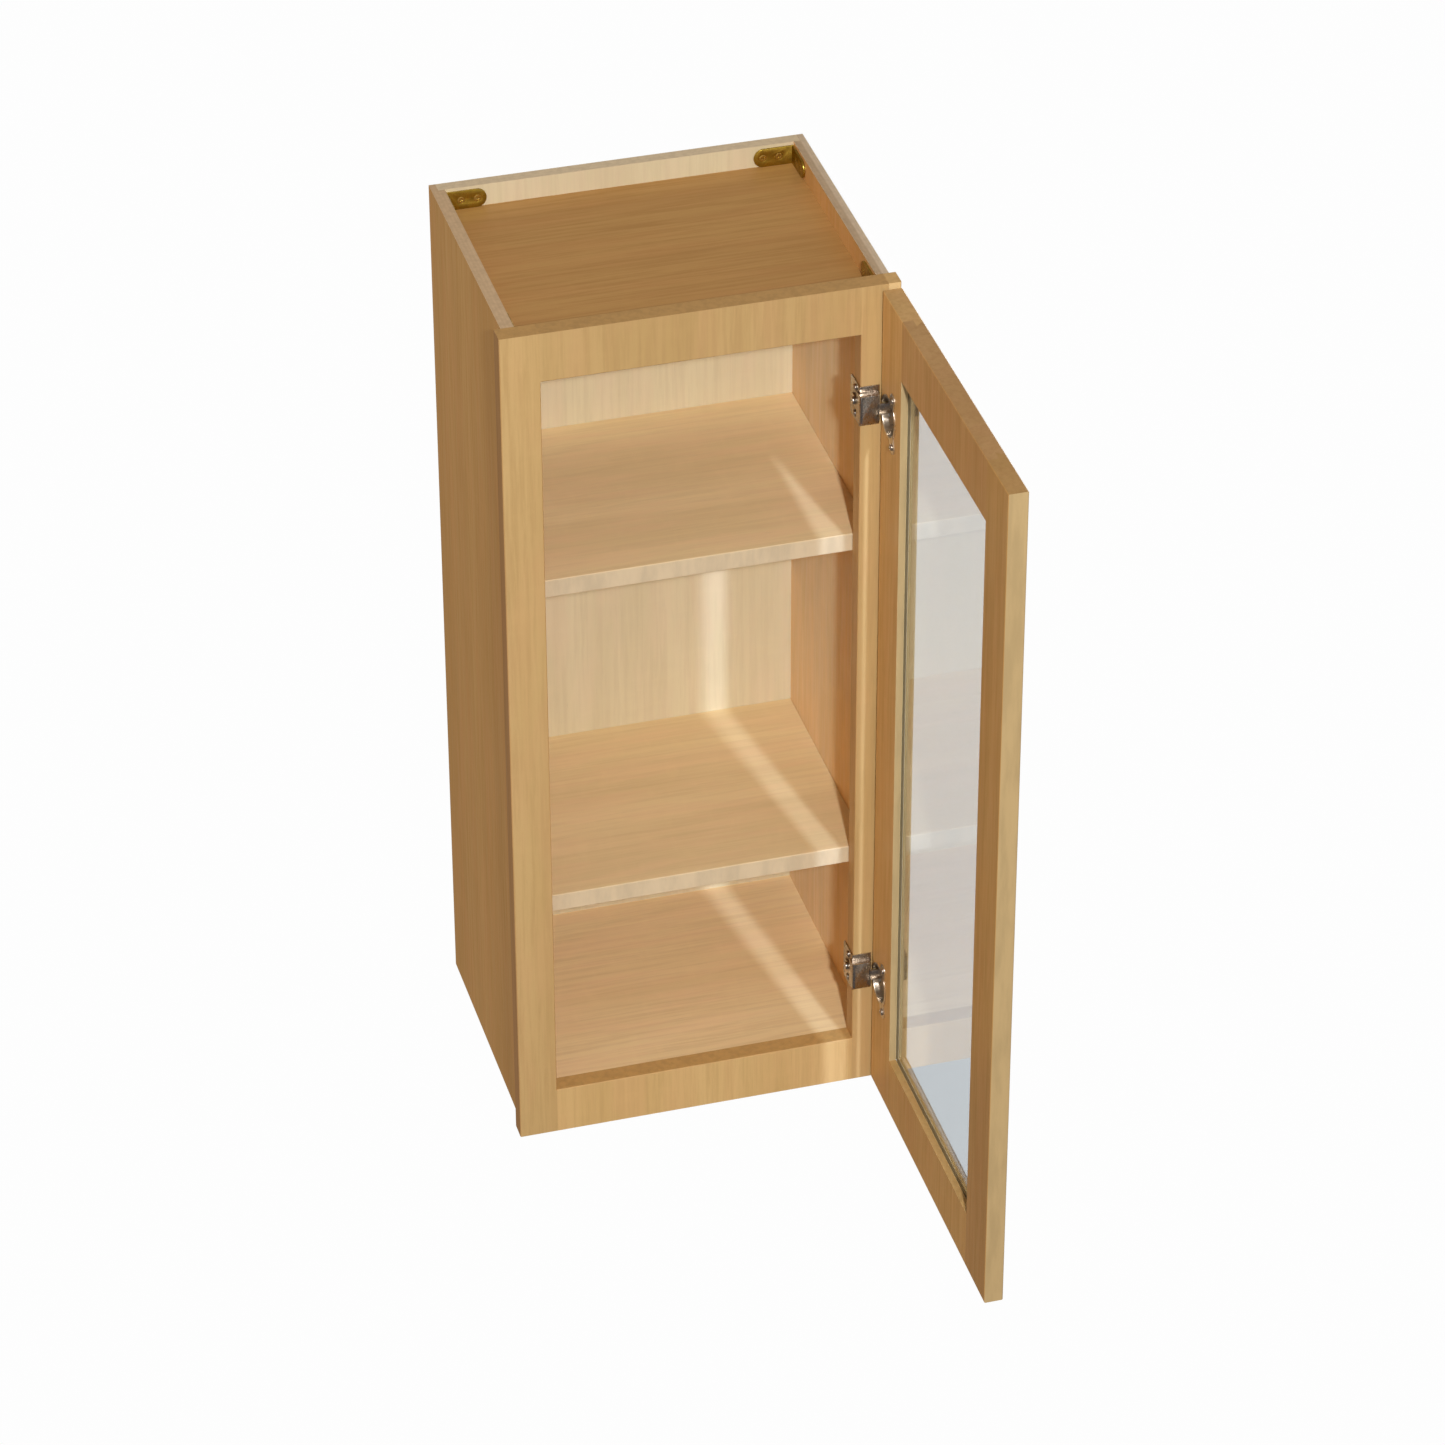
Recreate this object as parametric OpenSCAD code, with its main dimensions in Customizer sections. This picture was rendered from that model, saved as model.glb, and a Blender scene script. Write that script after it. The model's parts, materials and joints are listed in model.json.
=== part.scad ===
// Framed hanging wall cabinet: plywood box, solid face frame, two shelves and one
// glass door on two wrap-around cup hinges. The door stands open at a right angle.
// Origin: on the wall plane, at the bottom of the box, midway across its width.
// X runs across the front, -Y is the front, +Y the wall, Z is up. Millimetres.

/* [Cabinet] */
// Width over the face frame (15 in)
cab_w = 381; // [305:0.5:460]
// Height of the box and of the face frame (36 in)
cab_h = 914.4; // [760:0.1:1070]
// Depth from the wall to the front of the face frame (11 3/4 in)
cab_d = 298.45; // [280:0.05:330]

/* [Face frame] */
// Thickness of the face frame
frame_t = 19.05; // [17:0.05:22]
// Width of each stile
stile_w = 38.1; // [36:0.1:45]
// Height of each rail
rail_h = 50.8; // [45:0.1:60]
// How far the frame stands past the box on each side
overhang = 6.35; // [4:0.05:9]
// Small chamfer on the frame's front edges
frame_ease = 0.8; // [0.4:0.1:1.2]

/* [Box] */
// Thickness of the plywood sides, back, top and bottom
panel_t = 12.7; // [11:0.1:15]
// Depth of the grooves that hold the top, bottom and back
groove = 6.35; // [4:0.05:7]
// Drop from the top edge of the sides to the top panel
top_recess = 22.2; // [21:0.1:40]

/* [Shelves] */
// Thickness of each shelf
shelf_t = 19.05; // [15:0.05:22]
// Height of the lower shelf's top face
lower_shelf_z = 272.9; // [220:0.1:400]
// Height of the upper shelf's top face
upper_shelf_z = 635.7; // [500:0.1:680]
// Gap between a shelf and each side
shelf_gap = 0.35; // [0.2:0.05:1.5]

/* [Door] */
// Width of the door (14 1/2 in)
door_w = 368.3; // [360:0.1:372]
// Height of the door (35 3/4 in)
door_h = 908.05; // [890:0.05:911]
// Thickness of the door frame
door_t = 19.05; // [18:0.05:20]
// Height of the door's bottom edge
door_z = 1.6; // [1:0.1:3]
// Face width of each door stile
door_stile_w = 69.85; // [66:0.05:76]
// Face width of each door rail
door_rail_w = 73; // [68:0.1:80]
// Width of the glass rebate on the inner face
rebate_w = 10.35; // [8:0.05:11]
// Depth of the glass surface below the door's inner face
glass_drop = 6.6; // [5:0.1:7]
// Thickness of the glass
glass_t = 3.2; // [3:0.1:4]
// Thickness of the bedding seal under the glass
seal_t = 0.6; // [0.4:0.1:1]
// Radius on the door's outer edges
door_ease = 1.5; // [1.2:0.1:2]

/* [Hinges] */
// Distance of each hinge from its end of the door (5 in)
hinge_inset = 127; // [110:1:150]
// Rise of both hinges above those even places
hinge_rise = 5; // [0:0.5:10]
// Pivot's distance in from the door's hinge edge
pivot_in = 6; // [5.8:0.1:6.2]
// Pivot's depth below the door's inner face
pivot_deep = 6.5; // [6.3:0.1:6.7]
// Gap between the closed door and the face frame
door_gap = 2.5; // [2.4:0.1:2.8]
// Diameter of the drilled cup
cup_d = 40; // [39:0.5:41]
// Depth of the cup
cup_deep = 11; // [10.5:0.1:12]
// Thickness of the wood left between cup and door edge
cup_tab = 3; // [2.8:0.1:3.2]

/* [Brackets] */
// Length of each leg of a corner bracket
bracket_leg = 40; // [34:1:48]
// Height of a corner bracket
bracket_h = 19; // [16:0.5:20]
// Thickness of a corner bracket
bracket_t = 2; // [1.5:0.1:2.5]

/* [Hidden] */

$fn = 64;
eps = 0.01;                                 // overlap that keeps a cut clean
maple = [0.80, 0.66, 0.46];                 // solid maple of the frame and door
ply = [0.70, 0.53, 0.34];                   // finished plywood faces
brass = [0.60, 0.48, 0.16];
nickel = [0.52, 0.47, 0.42];
clear = [0.85, 0.90, 0.90, 0.35];

// Box and frame planes
half_w = cab_w / 2;                         // outer edge of the face frame
side_out = half_w - overhang;               // outer face of a side panel
side_in = side_out - panel_t;               // inner face of a side panel
tongue_x = side_in + groove;                // end of the top, bottom and back in the sides
front_y = -cab_d;                           // front of the face frame
frame_back_y = front_y + frame_t;           // rear of the face frame
back_in_y = -panel_t;                       // inner face of the back
stile_in = half_w - stile_w;                // inner edge of a frame stile
top_z = cab_h - top_recess;                 // upper face of the top panel
bottom_z = rail_h - panel_t;                // lower face of the bottom panel

// Frame dowels
dowel_r = 4;
dowel_len = 40;
dowel_gap = 0.05;
dowel_z = [rail_h - 36.8, rail_h - 10, cab_h - rail_h + 10, cab_h - rail_h + 26];

// Shelf pins
shelf_back_gap = 0.2;
shelf_front_gap = 1;
pin_r = 2.5;
pin_deep = 9;                               // length of a pin inside the side panel
pin_drop = 6;                               // pin axis below the shelf
pin_plate = 2;
pin_tab = [9, 9, 11];                       // reach, width and height of a pin's bracket
pin_y = [-60, -235];

// Screws
csk_head_r = 3.7;
csk_r = 1.6;
csk_len = 11;                               // from the top of the head to the tip
csk_play = 0.05;
bracket_holes = [15, 31];                   // hole distances from the bracket's corner
pan_r = 3.5;
pan_h = 2;
bracket_drop = 1;                           // bottom brackets hang this far below the panel

// Hinge
pivot_x = half_w - (cab_w - door_w) / 2 - pivot_in;
pivot_y = front_y - door_gap - pivot_deep;
door_face_x = pivot_x - pivot_deep;         // inner face of the open door
door_edge_y = pivot_y + pivot_in;           // hinge edge of the open door
upper_hinge_z = door_z + door_h - hinge_inset + hinge_rise;
lower_hinge_z = door_z + hinge_inset + hinge_rise;
base_t = 1.2;                               // sheet of the wrap-around base
base_half = 21;                             // half height of the base
base_back_y = front_y + 28;                 // rear end of the base's edge flange
base_corner_r = 4;
base_right_x = stile_in + 18.1;             // outer end of the base's front flange
arm_half = 14.5;                            // half height of the arm housing
arm_t = 1.5;                                // wall of the arm housing
arm_left_x = stile_in - base_t - 0.1 - arm_t;
arm_right_x = arm_left_x + 19;
arm_front_y = pivot_y + 0.45;
arm_side_y = front_y + 4.45;                // rear end of the housing's side wall
arm_bend = 3;                               // outer bend radius of the housing
tongue_half = 5.5;                          // half height of the cam tongue
neck_half = 5.5;                            // half height of the neck and knuckle
neck_t = 2.5;
knuckle_r = 2;
hinge_pin_r = 1.25;
hinge_pin_half = 9.8;
pin_press = 0.02;                           // radial gap of the pin in the cup
pin_run = 0.05;                             // radial running gap of the pin in the arm
hinge_screw_y = front_y + 12;
hinge_screw_z = 14;                         // frame screws above and below the centre
hinge_screw_r = 1.9;
hinge_screw_len = 16;
cam_r = 4;
cam_h = 2;
cam_shank_r = 2;
cam_deep = 4;                               // length of the cam's shank in the stile
cup_r = cup_d / 2;
cup_wall = 0.8;
cup_u = cup_tab + cup_r;                    // cup centre from the door's hinge edge
cup_rim = 1.8;                              // width of the rim round the cup
cup_play = 0.1;
wing_u = 36;                                // cup screws from the door's hinge edge
wing_z = 25;                                // cup screws above and below the centre
wing_r = 7;
wing_turn = 113;                            // direction of a wing's neck, towards the cup
window_half = 6.2;                          // half height of the slot for the neck
cup_screw_len = 13;
spring_w = 10;
spring_t = 0.8;

// Corner signs: brackets stand in the four corners, above and below
corners = [[-1, 1], [1, 1], [-1, -1], [1, -1]];   // [side, back = 1 or front = -1]

// ---------- helpers ----------

// Box between two opposite corners
module block(a, b) {
  translate(a)
    cube(b - a);
}

// Square bar turned on its edge, for a chamfer of size c along the vertical
module chamfer_z(x, y, c, z0, z1) {
  translate([x, y, z0])
    rotate([0, 0, 45])
      translate([-c / sqrt(2), -c / sqrt(2), 0])
        cube([c * sqrt(2), c * sqrt(2), z1 - z0]);
}

// The same along the width
module chamfer_x(y, z, c, x0, x1) {
  translate([x0, y, z])
    rotate([45, 0, 0])
      translate([0, -c / sqrt(2), -c / sqrt(2)])
        cube([x1 - x0, c * sqrt(2), c * sqrt(2)]);
}

// Cylinder along X from x0 to x1
module rod_x(x0, x1, y, z, r) {
  translate([x0, y, z])
    rotate([0, 90, 0])
      cylinder(r = r, h = x1 - x0);
}

// Flat-head screw pointing down -Z with the top of its head at z = 0
module flat_screw() {
  difference() {
    union() {
      translate([0, 0, -bracket_t])
        cylinder(r1 = csk_r, r2 = csk_head_r, h = bracket_t);
      translate([0, 0, -csk_len + 2])
        cylinder(r = csk_r, h = csk_len - 2 - bracket_t + eps);
      translate([0, 0, -csk_len])
        cylinder(r1 = 0.3, r2 = csk_r, h = 2);
    }
    cross_slot(1);
  }
}

// Crossed driver slot, cut from z = 0 down
module cross_slot(depth) {
  for (a = [0, 90])
    rotate([0, 0, a])
      translate([-1.9, -0.4, -depth])
        cube([3.8, 0.8, depth + eps]);
}

// Pan-head screw pointing down -Z with the underside of its head at z = 0
module pan_screw(r, len) {
  difference() {
    union() {
      cylinder(r = pan_r, h = pan_h * 0.6);
      translate([0, 0, pan_h * 0.6])
        cylinder(r1 = pan_r, r2 = pan_r * 0.7, h = pan_h * 0.4);
      translate([0, 0, -len + 3])
        cylinder(r = r, h = len - 3 + eps);
      translate([0, 0, -len])
        cylinder(r1 = 0.3, r2 = r, h = 3);
    }
    translate([0, 0, pan_h])
      cross_slot(1.1);
  }
}

// ---------- box ----------

// Side panel on the right; the left one is its mirror
module side_panel() {
  difference() {
    block([side_in, frame_back_y, 0], [side_out, 0, cab_h]);
    block([side_in - eps, back_in_y, -eps], [tongue_x, eps, cab_h + eps]);
    for (z = [bottom_z, top_z - panel_t])
      block([side_in - eps, frame_back_y - eps, z], [tongue_x, back_in_y + eps, z + panel_t]);
    for (z = [lower_shelf_z, upper_shelf_z], y = pin_y)
      rod_x(side_in - eps, side_in + pin_deep + 0.5, y, z - shelf_t - pin_drop, pin_r + csk_play);
    for (z = [0, 1], c = [1, -1], h = bracket_holes)
      rod_x(side_in - eps, side_in + csk_len - bracket_t + 0.5,
            c > 0 ? back_in_y - h : frame_back_y + h, bracket_z(z) + bracket_h / 2,
            csk_r + csk_play);
  }
}

module left_side_panel() {
  color(ply)
    mirror([1, 0, 0])
      side_panel();
}

module right_side_panel() {
  color(ply)
    side_panel();
}

module back_panel() {
  color(ply)
    difference() {
      block([-tongue_x, back_in_y, 0], [tongue_x, 0, cab_h]);
      for (s = [-1, 1], z = [0, 1], h = bracket_holes)
        translate([s * (side_in - h), back_in_y - eps, bracket_z(z) + bracket_h / 2])
          rotate([-90, 0, 0])
            cylinder(r = csk_r + csk_play, h = csk_len - bracket_t + 0.5);
    }
}

// Top or bottom panel with its underside at z
module deck(z) {
  color(ply)
    block([-tongue_x, frame_back_y, z], [tongue_x, back_in_y, z + panel_t]);
}

module top_panel() {
  deck(top_z - panel_t);
}

module bottom_panel() {
  deck(bottom_z);
}

// ---------- face frame ----------

// Dowels of all four joints, or their holes when play is above zero
module frame_dowel_set(play) {
  for (s = [-1, 1], z = dowel_z)
    rod_x(s * stile_in - dowel_len / 2 - play * 10, s * stile_in + dowel_len / 2 + play * 10,
          front_y + frame_t / 2, z, dowel_r - dowel_gap + play);
}

// Pilot holes in the rear of the frame for the front brackets' screws
module frame_pilot_set() {
  for (s = [-1, 1], row = [0, 1], h = bracket_holes)
    translate([s * (side_in - h), frame_back_y - csk_len + bracket_t - 0.5,
               bracket_z(row) + bracket_h / 2])
      rotate([-90, 0, 0])
        cylinder(r = csk_r + csk_play, h = csk_len);
}

module frame_stile() {
  difference() {
    block([stile_in, front_y, 0], [half_w, frame_back_y, cab_h]);
    chamfer_z(half_w, front_y, frame_ease, -eps, cab_h + eps);
    chamfer_z(stile_in, front_y, frame_ease, rail_h, cab_h - rail_h);
    frame_dowel_set(dowel_gap);
    frame_pilot_set();
  }
}

module frame_left_stile() {
  color(maple)
    mirror([1, 0, 0])
      frame_stile();
}

module frame_right_stile() {
  color(maple)
    difference() {
      frame_stile();
      for (z = [lower_hinge_z, upper_hinge_z]) {
        for (s = [-1, 1])
          rod_x(stile_in - eps, stile_in + hinge_screw_len - base_t + 0.5, hinge_screw_y,
                z + s * hinge_screw_z, hinge_screw_r + csk_play);
        rod_x(stile_in - eps, stile_in + cam_deep + 0.5, hinge_screw_y, z,
              cam_shank_r + csk_play);
      }
    }
}

// Rail between the stiles, with its chamfer along the edge at ease_z
module frame_rail(z, ease_z) {
  color(maple)
    difference() {
      block([-stile_in, front_y, z], [stile_in, frame_back_y, z + rail_h]);
      chamfer_x(front_y, ease_z, frame_ease, -stile_in - eps, stile_in + eps);
      frame_dowel_set(dowel_gap);
      frame_pilot_set();
    }
}

module frame_top_rail() {
  frame_rail(cab_h - rail_h, cab_h - rail_h);
}

module frame_bottom_rail() {
  frame_rail(0, rail_h);
}

module frame_dowels() {
  color([0.85, 0.75, 0.55])
    frame_dowel_set(0);
}

// ---------- shelves ----------

// Shelf whose top face is at z, with eased front edges
module shelf(z) {
  x = side_in - shelf_gap;
  y0 = frame_back_y + shelf_front_gap;
  color(ply)
    difference() {
      block([-x, y0, z - shelf_t], [x, back_in_y - shelf_back_gap, z]);
      for (edge = [z, z - shelf_t])
        chamfer_x(y0, edge, frame_ease, -x - eps, x + eps);
    }
}

module upper_shelf() {
  shelf(upper_shelf_z);
}

module lower_shelf() {
  shelf(lower_shelf_z);
}

// One shelf pin in the right side, its tab's top face at z = 0, at y = 0
module shelf_pin() {
  rod_x(side_in - pin_plate, side_in + pin_deep, 0, -pin_drop, pin_r);
  block([side_in - pin_plate, -pin_tab.y / 2, -pin_tab.z], [side_in, pin_tab.y / 2, 0]);
  block([side_in - pin_tab.x, -pin_tab.y / 2, -pin_plate], [side_in, pin_tab.y / 2, 0]);
  translate([side_in, 0, 0])
    rotate([90, 0, 0])
      linear_extrude(pin_plate, center = true)
        polygon([[-pin_plate, -pin_tab.z], [-pin_tab.x, -pin_plate], [-pin_plate, -pin_plate]]);
}

// The four pins of a shelf whose top face is at z
module shelf_pins(z) {
  color(nickel)
    for (s = [0, 1], y = pin_y)
      translate([0, y, z - shelf_t])
        mirror([s, 0, 0])
          shelf_pin();
}

module upper_shelf_pins() {
  shelf_pins(upper_shelf_z);
}

module lower_shelf_pins() {
  shelf_pins(lower_shelf_z);
}

// ---------- corner brackets ----------

// Lower edge of the brackets: row 0 is under the bottom panel, row 1 on the top panel
function bracket_z(row) = row == 0 ? bottom_z - bracket_drop - bracket_h : top_z;

// One leg lying in the XZ plane, from the corner at x = 0 to x = -leg, thick towards -Y
module bracket_leg() {
  r = bracket_h / 2;
  difference() {
    translate([0, 0, r])
      rotate([90, 0, 0])
        linear_extrude(bracket_t) {
          translate([-bracket_leg + r, -r])
            square([bracket_leg - r, bracket_h]);
          translate([-bracket_leg + r, 0])
            circle(r);
        }
    for (h = bracket_holes)
      translate([-h, 0, r])
        rotate([90, 0, 0])
          cylinder(r1 = csk_r + csk_play, r2 = csk_head_r + csk_play, h = bracket_t + eps);
  }
}

// Puts a right-back corner piece into corner [side, back] at height z
module in_corner(c, z) {
  depth = (c.y > 0) ? 0 : 1;
  mirror([c.x < 0 ? 1 : 0, 0, 0])
    translate([side_in, depth == 0 ? back_in_y : frame_back_y, z])
      mirror([0, depth, 0])
        children();
}

// L-shaped bracket for the right-back corner, its corner at the origin
module bracket() {
  bracket_leg();
  rotate([0, 0, 90])
    mirror([0, 1, 0])
      bracket_leg();
}

module corner_bracket(i, row) {
  color(brass)
    in_corner(corners[i], bracket_z(row))
      bracket();
}

module bracket_top_back_left() {
  corner_bracket(0, 1);
}

module bracket_top_back_right() {
  corner_bracket(1, 1);
}

module bracket_top_front_left() {
  corner_bracket(2, 1);
}

module bracket_top_front_right() {
  corner_bracket(3, 1);
}

module bracket_bottom_back_left() {
  corner_bracket(0, 0);
}

module bracket_bottom_back_right() {
  corner_bracket(1, 0);
}

module bracket_bottom_front_left() {
  corner_bracket(2, 0);
}

module bracket_bottom_front_right() {
  corner_bracket(3, 0);
}

// All the screws of one row of brackets
module bracket_screws(row) {
  color(brass)
    for (c = corners)
      in_corner(c, bracket_z(row) + bracket_h / 2)
        for (h = bracket_holes) {
          translate([-h, -bracket_t, 0])
            rotate([90, 0, 0])
              flat_screw();
          translate([-bracket_t, -h, 0])
            rotate([0, -90, 0])
              flat_screw();
        }
}

module top_bracket_screws() {
  bracket_screws(1);
}

module bottom_bracket_screws() {
  bracket_screws(0);
}

// ---------- hinges, cabinet side ----------

// Wrap-around sheet: a flange on the stile's inner edge and one on its front
module hinge_base(z) {
  color(nickel)
    difference() {
      union() {
        block([stile_in - base_t, front_y - base_t, z - base_half],
              [stile_in, base_back_y - base_corner_r, z + base_half]);
        flange_end(z);
        block([stile_in - base_t, front_y - base_t, z - base_half],
              [base_right_x, front_y, z + base_half]);
      }
      for (s = [-1, 1])
        rod_x(stile_in - base_t - eps, stile_in + eps, hinge_screw_y, z + s * hinge_screw_z,
              hinge_screw_r + csk_play);
      rod_x(stile_in - base_t - eps, stile_in + eps, hinge_screw_y, z, cam_shank_r + csk_play);
    }
}

// Rounded rear end of the edge flange
module flange_end(z) {
  r = base_corner_r;
  block([stile_in - base_t, base_back_y - r - eps, z - base_half + r],
        [stile_in, base_back_y, z + base_half - r]);
  for (s = [-1, 1])
    rod_x(stile_in - base_t, stile_in, base_back_y - r, z + s * (base_half - r), r);
}

module upper_hinge_base() {
  hinge_base(upper_hinge_z);
}

module lower_hinge_base() {
  hinge_base(lower_hinge_z);
}

// Plan outline of the arm housing's bent sheet, pushed in by d
module housing_outline(d) {
  x0 = arm_left_x + d;
  y0 = arm_front_y + d;
  r = arm_bend - d;
  translate([x0, y0 + r])
    square([arm_right_x - x0 - d, front_y - base_t - 0.1 - y0 - r]);
  translate([x0 + r, y0])
    square([arm_right_x - x0 - d - r, r + eps]);
  translate([x0 + r, y0 + r])
    circle(r);
}

// Housing, cam tongue, neck and knuckle
module hinge_arm(z) {
  color(nickel)
    translate([0, 0, z])
      difference() {
        union() {
          difference() {
            translate([0, 0, -arm_half])
              linear_extrude(2 * arm_half)
                housing_outline(0);
            translate([0, 0, -arm_half + arm_t])
              linear_extrude(2 * (arm_half - arm_t)) {
                housing_outline(arm_t);
                translate([arm_left_x + arm_t, front_y - base_t - 2])
                  square([arm_right_x - arm_left_x - 2 * arm_t, 3]);
              }
          }
          block([arm_left_x, front_y - base_t - 0.2, -arm_half],
                [arm_left_x + arm_t, arm_side_y, arm_half]);
          block([arm_left_x, arm_side_y - eps, -tongue_half],
                [arm_left_x + arm_t, hinge_screw_y + tongue_half, tongue_half]);
          block([arm_right_x - arm_t, pivot_y - knuckle_r + 0.2, -neck_half],
                [pivot_x, pivot_y - knuckle_r + 0.2 + neck_t, neck_half]);
          block([arm_right_x - arm_t, pivot_y - knuckle_r + 0.2, -neck_half],
                [arm_right_x, arm_front_y + arm_t, neck_half]);
          translate([pivot_x, pivot_y, -neck_half])
            cylinder(r = knuckle_r, h = 2 * neck_half);
        }
        translate([pivot_x, pivot_y, -neck_half - eps])
          cylinder(r = hinge_pin_r + pin_run, h = 2 * (neck_half + eps));
        rod_x(arm_left_x - eps, arm_left_x + arm_t + eps, hinge_screw_y, 0,
              cam_shank_r + csk_play);
      }
}

module upper_hinge_arm() {
  hinge_arm(upper_hinge_z);
}

module lower_hinge_arm() {
  hinge_arm(lower_hinge_z);
}

// Two screws into the stile's edge
module hinge_frame_screws(z) {
  color(nickel)
    for (s = [-1, 1])
      translate([stile_in - base_t, hinge_screw_y, z + s * hinge_screw_z])
        rotate([0, -90, 0])
          pan_screw(hinge_screw_r, hinge_screw_len);
}

module upper_hinge_frame_screws() {
  hinge_frame_screws(upper_hinge_z);
}

module lower_hinge_frame_screws() {
  hinge_frame_screws(lower_hinge_z);
}

// Slotted cam that clamps the arm's tongue to the base
module hinge_cam(z) {
  color(nickel)
    difference() {
      union() {
        rod_x(arm_left_x - cam_h, arm_left_x, hinge_screw_y, z, cam_r);
        rod_x(arm_left_x - eps, stile_in + cam_deep, hinge_screw_y, z, cam_shank_r);
      }
      translate([arm_left_x - cam_h, hinge_screw_y, z])
        rotate([0, -90, 0])
          rotate([0, 0, 30])
            cross_slot(1.1);
    }
}

module upper_hinge_cam() {
  hinge_cam(upper_hinge_z);
}

module lower_hinge_cam() {
  hinge_cam(lower_hinge_z);
}

// ---------- door ----------
// Door pieces are drawn in the door's own layout, seen from the inside of the cabinet:
// u runs from the hinge edge to the free edge, v up from the bottom edge and d into the
// door from its inner face. on_door() lays that out on the open door.

// [u, v, d] to the open door: u towards -Y, v up, d towards +X
module on_door() {
  translate([door_face_x, door_edge_y, door_z])
    multmatrix([[0, 0, 1, 0], [-1, 0, 0, 0], [0, 1, 0, 0], [0, 0, 0, 1]])
      children();
}

// Cross-section of a stile or rail of face width w: outer edge at 0, sight edge at w
module bar_section(w) {
  inner = w - rebate_w;
  lip = glass_drop + glass_t + seal_t;
  bevel = 6;
  difference() {
    polygon([
      [0, 0], [inner, 0], [inner, lip], [w, lip], [w, lip + 1],
      [w - bevel, lip + 1 + bevel], [w - bevel, door_t], [0, door_t]
    ]);
    outer_easing();
  }
}

// What the rounding takes off both corners of an outer edge at 0
module outer_easing() {
  for (d = [0, 1])
    translate([0, d * door_t])
      mirror([0, d])
        difference() {
          translate([-1, -1])
            square([door_ease + 1, door_ease + 1]);
          translate([door_ease, door_ease])
            circle(door_ease);
        }
}

// Carries a flat drawing in [v, d] along u, from u0 to u1
module along_u(u0, u1) {
  translate([u0, 0, 0])
    multmatrix([[0, 0, 1, 0], [1, 0, 0, 0], [0, 1, 0, 0], [0, 0, 0, 1]])
      linear_extrude(u1 - u0)
        children();
}

// Hinge-side stile along v, longer by extra at both ends, in [u, v, d]
module stile_bar(extra) {
  translate([0, -extra, 0])
    rotate([-90, 0, 0])
      mirror([0, 1, 0])
        linear_extrude(door_h + 2 * extra)
          bar_section(door_stile_w);
}

// Hinge-side stile with rounded ends and its mortises, in [u, v, d]
module stile_piece() {
  difference() {
    stile_bar(0);
    along_u(-1, door_stile_w + 1)
      outer_easing();
    translate([0, door_h, 0])
      mirror([0, 1, 0])
        along_u(-1, door_stile_w + 1)
          outer_easing();
    for (top = [0, 1])
      translate([0, top * door_h, 0])
        mirror([0, top, 0])
          rail_tenon(0.05);
  }
}

// Tenon at the hinge end of the bottom rail; play widens and deepens it for its mortise
module rail_tenon(play) {
  tenon_len = 12;
  tenon_d = [6.5, 12.5];
  tenon_v = [8, 54];
  u = door_stile_w - rebate_w;
  block([u - tenon_len - play * 10, tenon_v[0] - play, tenon_d[0] - play],
        [u + 2, tenon_v[1] + play, tenon_d[1] + play]);
}

// Bottom rail, coped over the stiles' profile, with a tenon at each end, in [u, v, d]
module rail_piece() {
  end_u = door_stile_w / 2;
  difference() {
    along_u(end_u, door_w - end_u)
      bar_section(door_rail_w);
    for (free = [0, 1])
      translate([free * door_w, 0, 0])
        mirror([free, 0, 0])
          stile_bar(1);
  }
  for (free = [0, 1])
    translate([free * door_w, 0, 0])
      mirror([free, 0, 0])
        rail_tenon(0);
}

// Room in the wood for the ends of a hinge pin, in [u, v, d] from the hinge's height
module pin_relief() {
  half = hinge_pin_half + 0.4;
  translate([pivot_in, -half, pivot_deep])
    rotate([-90, 0, 0])
      cylinder(r = hinge_pin_r + 0.25, h = 2 * half);
}

module door_hinge_stile() {
  color(maple)
    on_door()
      difference() {
        stile_piece();
        for (z = [lower_hinge_z, upper_hinge_z])
          translate([0, z - door_z, -eps]) {
            translate([cup_u, 0, 0])
              cylinder(r = cup_r + cup_play, h = cup_deep + 0.2);
            for (s = [-1, 1])
              translate([wing_u, s * wing_z, 0])
                cylinder(r = csk_r + csk_play, h = cup_screw_len + 0.5);
            pin_relief();
          }
      }
}

module door_free_stile() {
  color(maple)
    on_door()
      translate([door_w, 0, 0])
        mirror([1, 0, 0])
          stile_piece();
}

module door_bottom_rail() {
  color(maple)
    on_door()
      rail_piece();
}

module door_top_rail() {
  color(maple)
    on_door()
      translate([0, door_h, 0])
        mirror([0, 1, 0])
          rail_piece();
}

// Glass or seal sheet: inset from the rebate's walls by gap, from depth d, thickness t
module pane(gap, d, t) {
  u = door_stile_w - rebate_w + gap;
  v = door_rail_w - rebate_w + gap;
  block([u, v, d], [door_w - u, door_h - v, d + t]);
}

module door_glass() {
  color(clear)
    on_door()
      pane(1, glass_drop, glass_t);
}

module glass_seal() {
  band = 6;
  color([0.75, 0.75, 0.72])
    on_door()
      difference() {
        pane(1, glass_drop + glass_t, seal_t);
        pane(1 + band, glass_drop + glass_t - 1, seal_t + 2);
      }
}

// ---------- hinges, door side ----------

// Moves hinge parts in [u, v, d], centred on the hinge's height, to a hinge at z
module at_hinge(z) {
  on_door()
    translate([0, z - door_z, 0])
      children();
}

// Flange lying on the door's inner face: a rim round the cup and a wing for each screw
module cup_flange() {
  translate([0, 0, -cup_wall])
    linear_extrude(cup_wall)
      difference() {
        union() {
          translate([cup_u, 0])
            circle(cup_r + cup_rim);
          for (s = [-1, 1])
            translate([wing_u, s * wing_z]) {
              circle(wing_r);
              rotate([0, 0, -s * wing_turn])
                translate([0, -wing_r])
                  square([2 * wing_r, 2 * wing_r]);
            }
        }
        translate([cup_u, 0])
          circle(cup_r - cup_wall);
        for (s = [-1, 1])
          translate([wing_u, s * wing_z])
            circle(csk_r + csk_play);
      }
}

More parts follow.
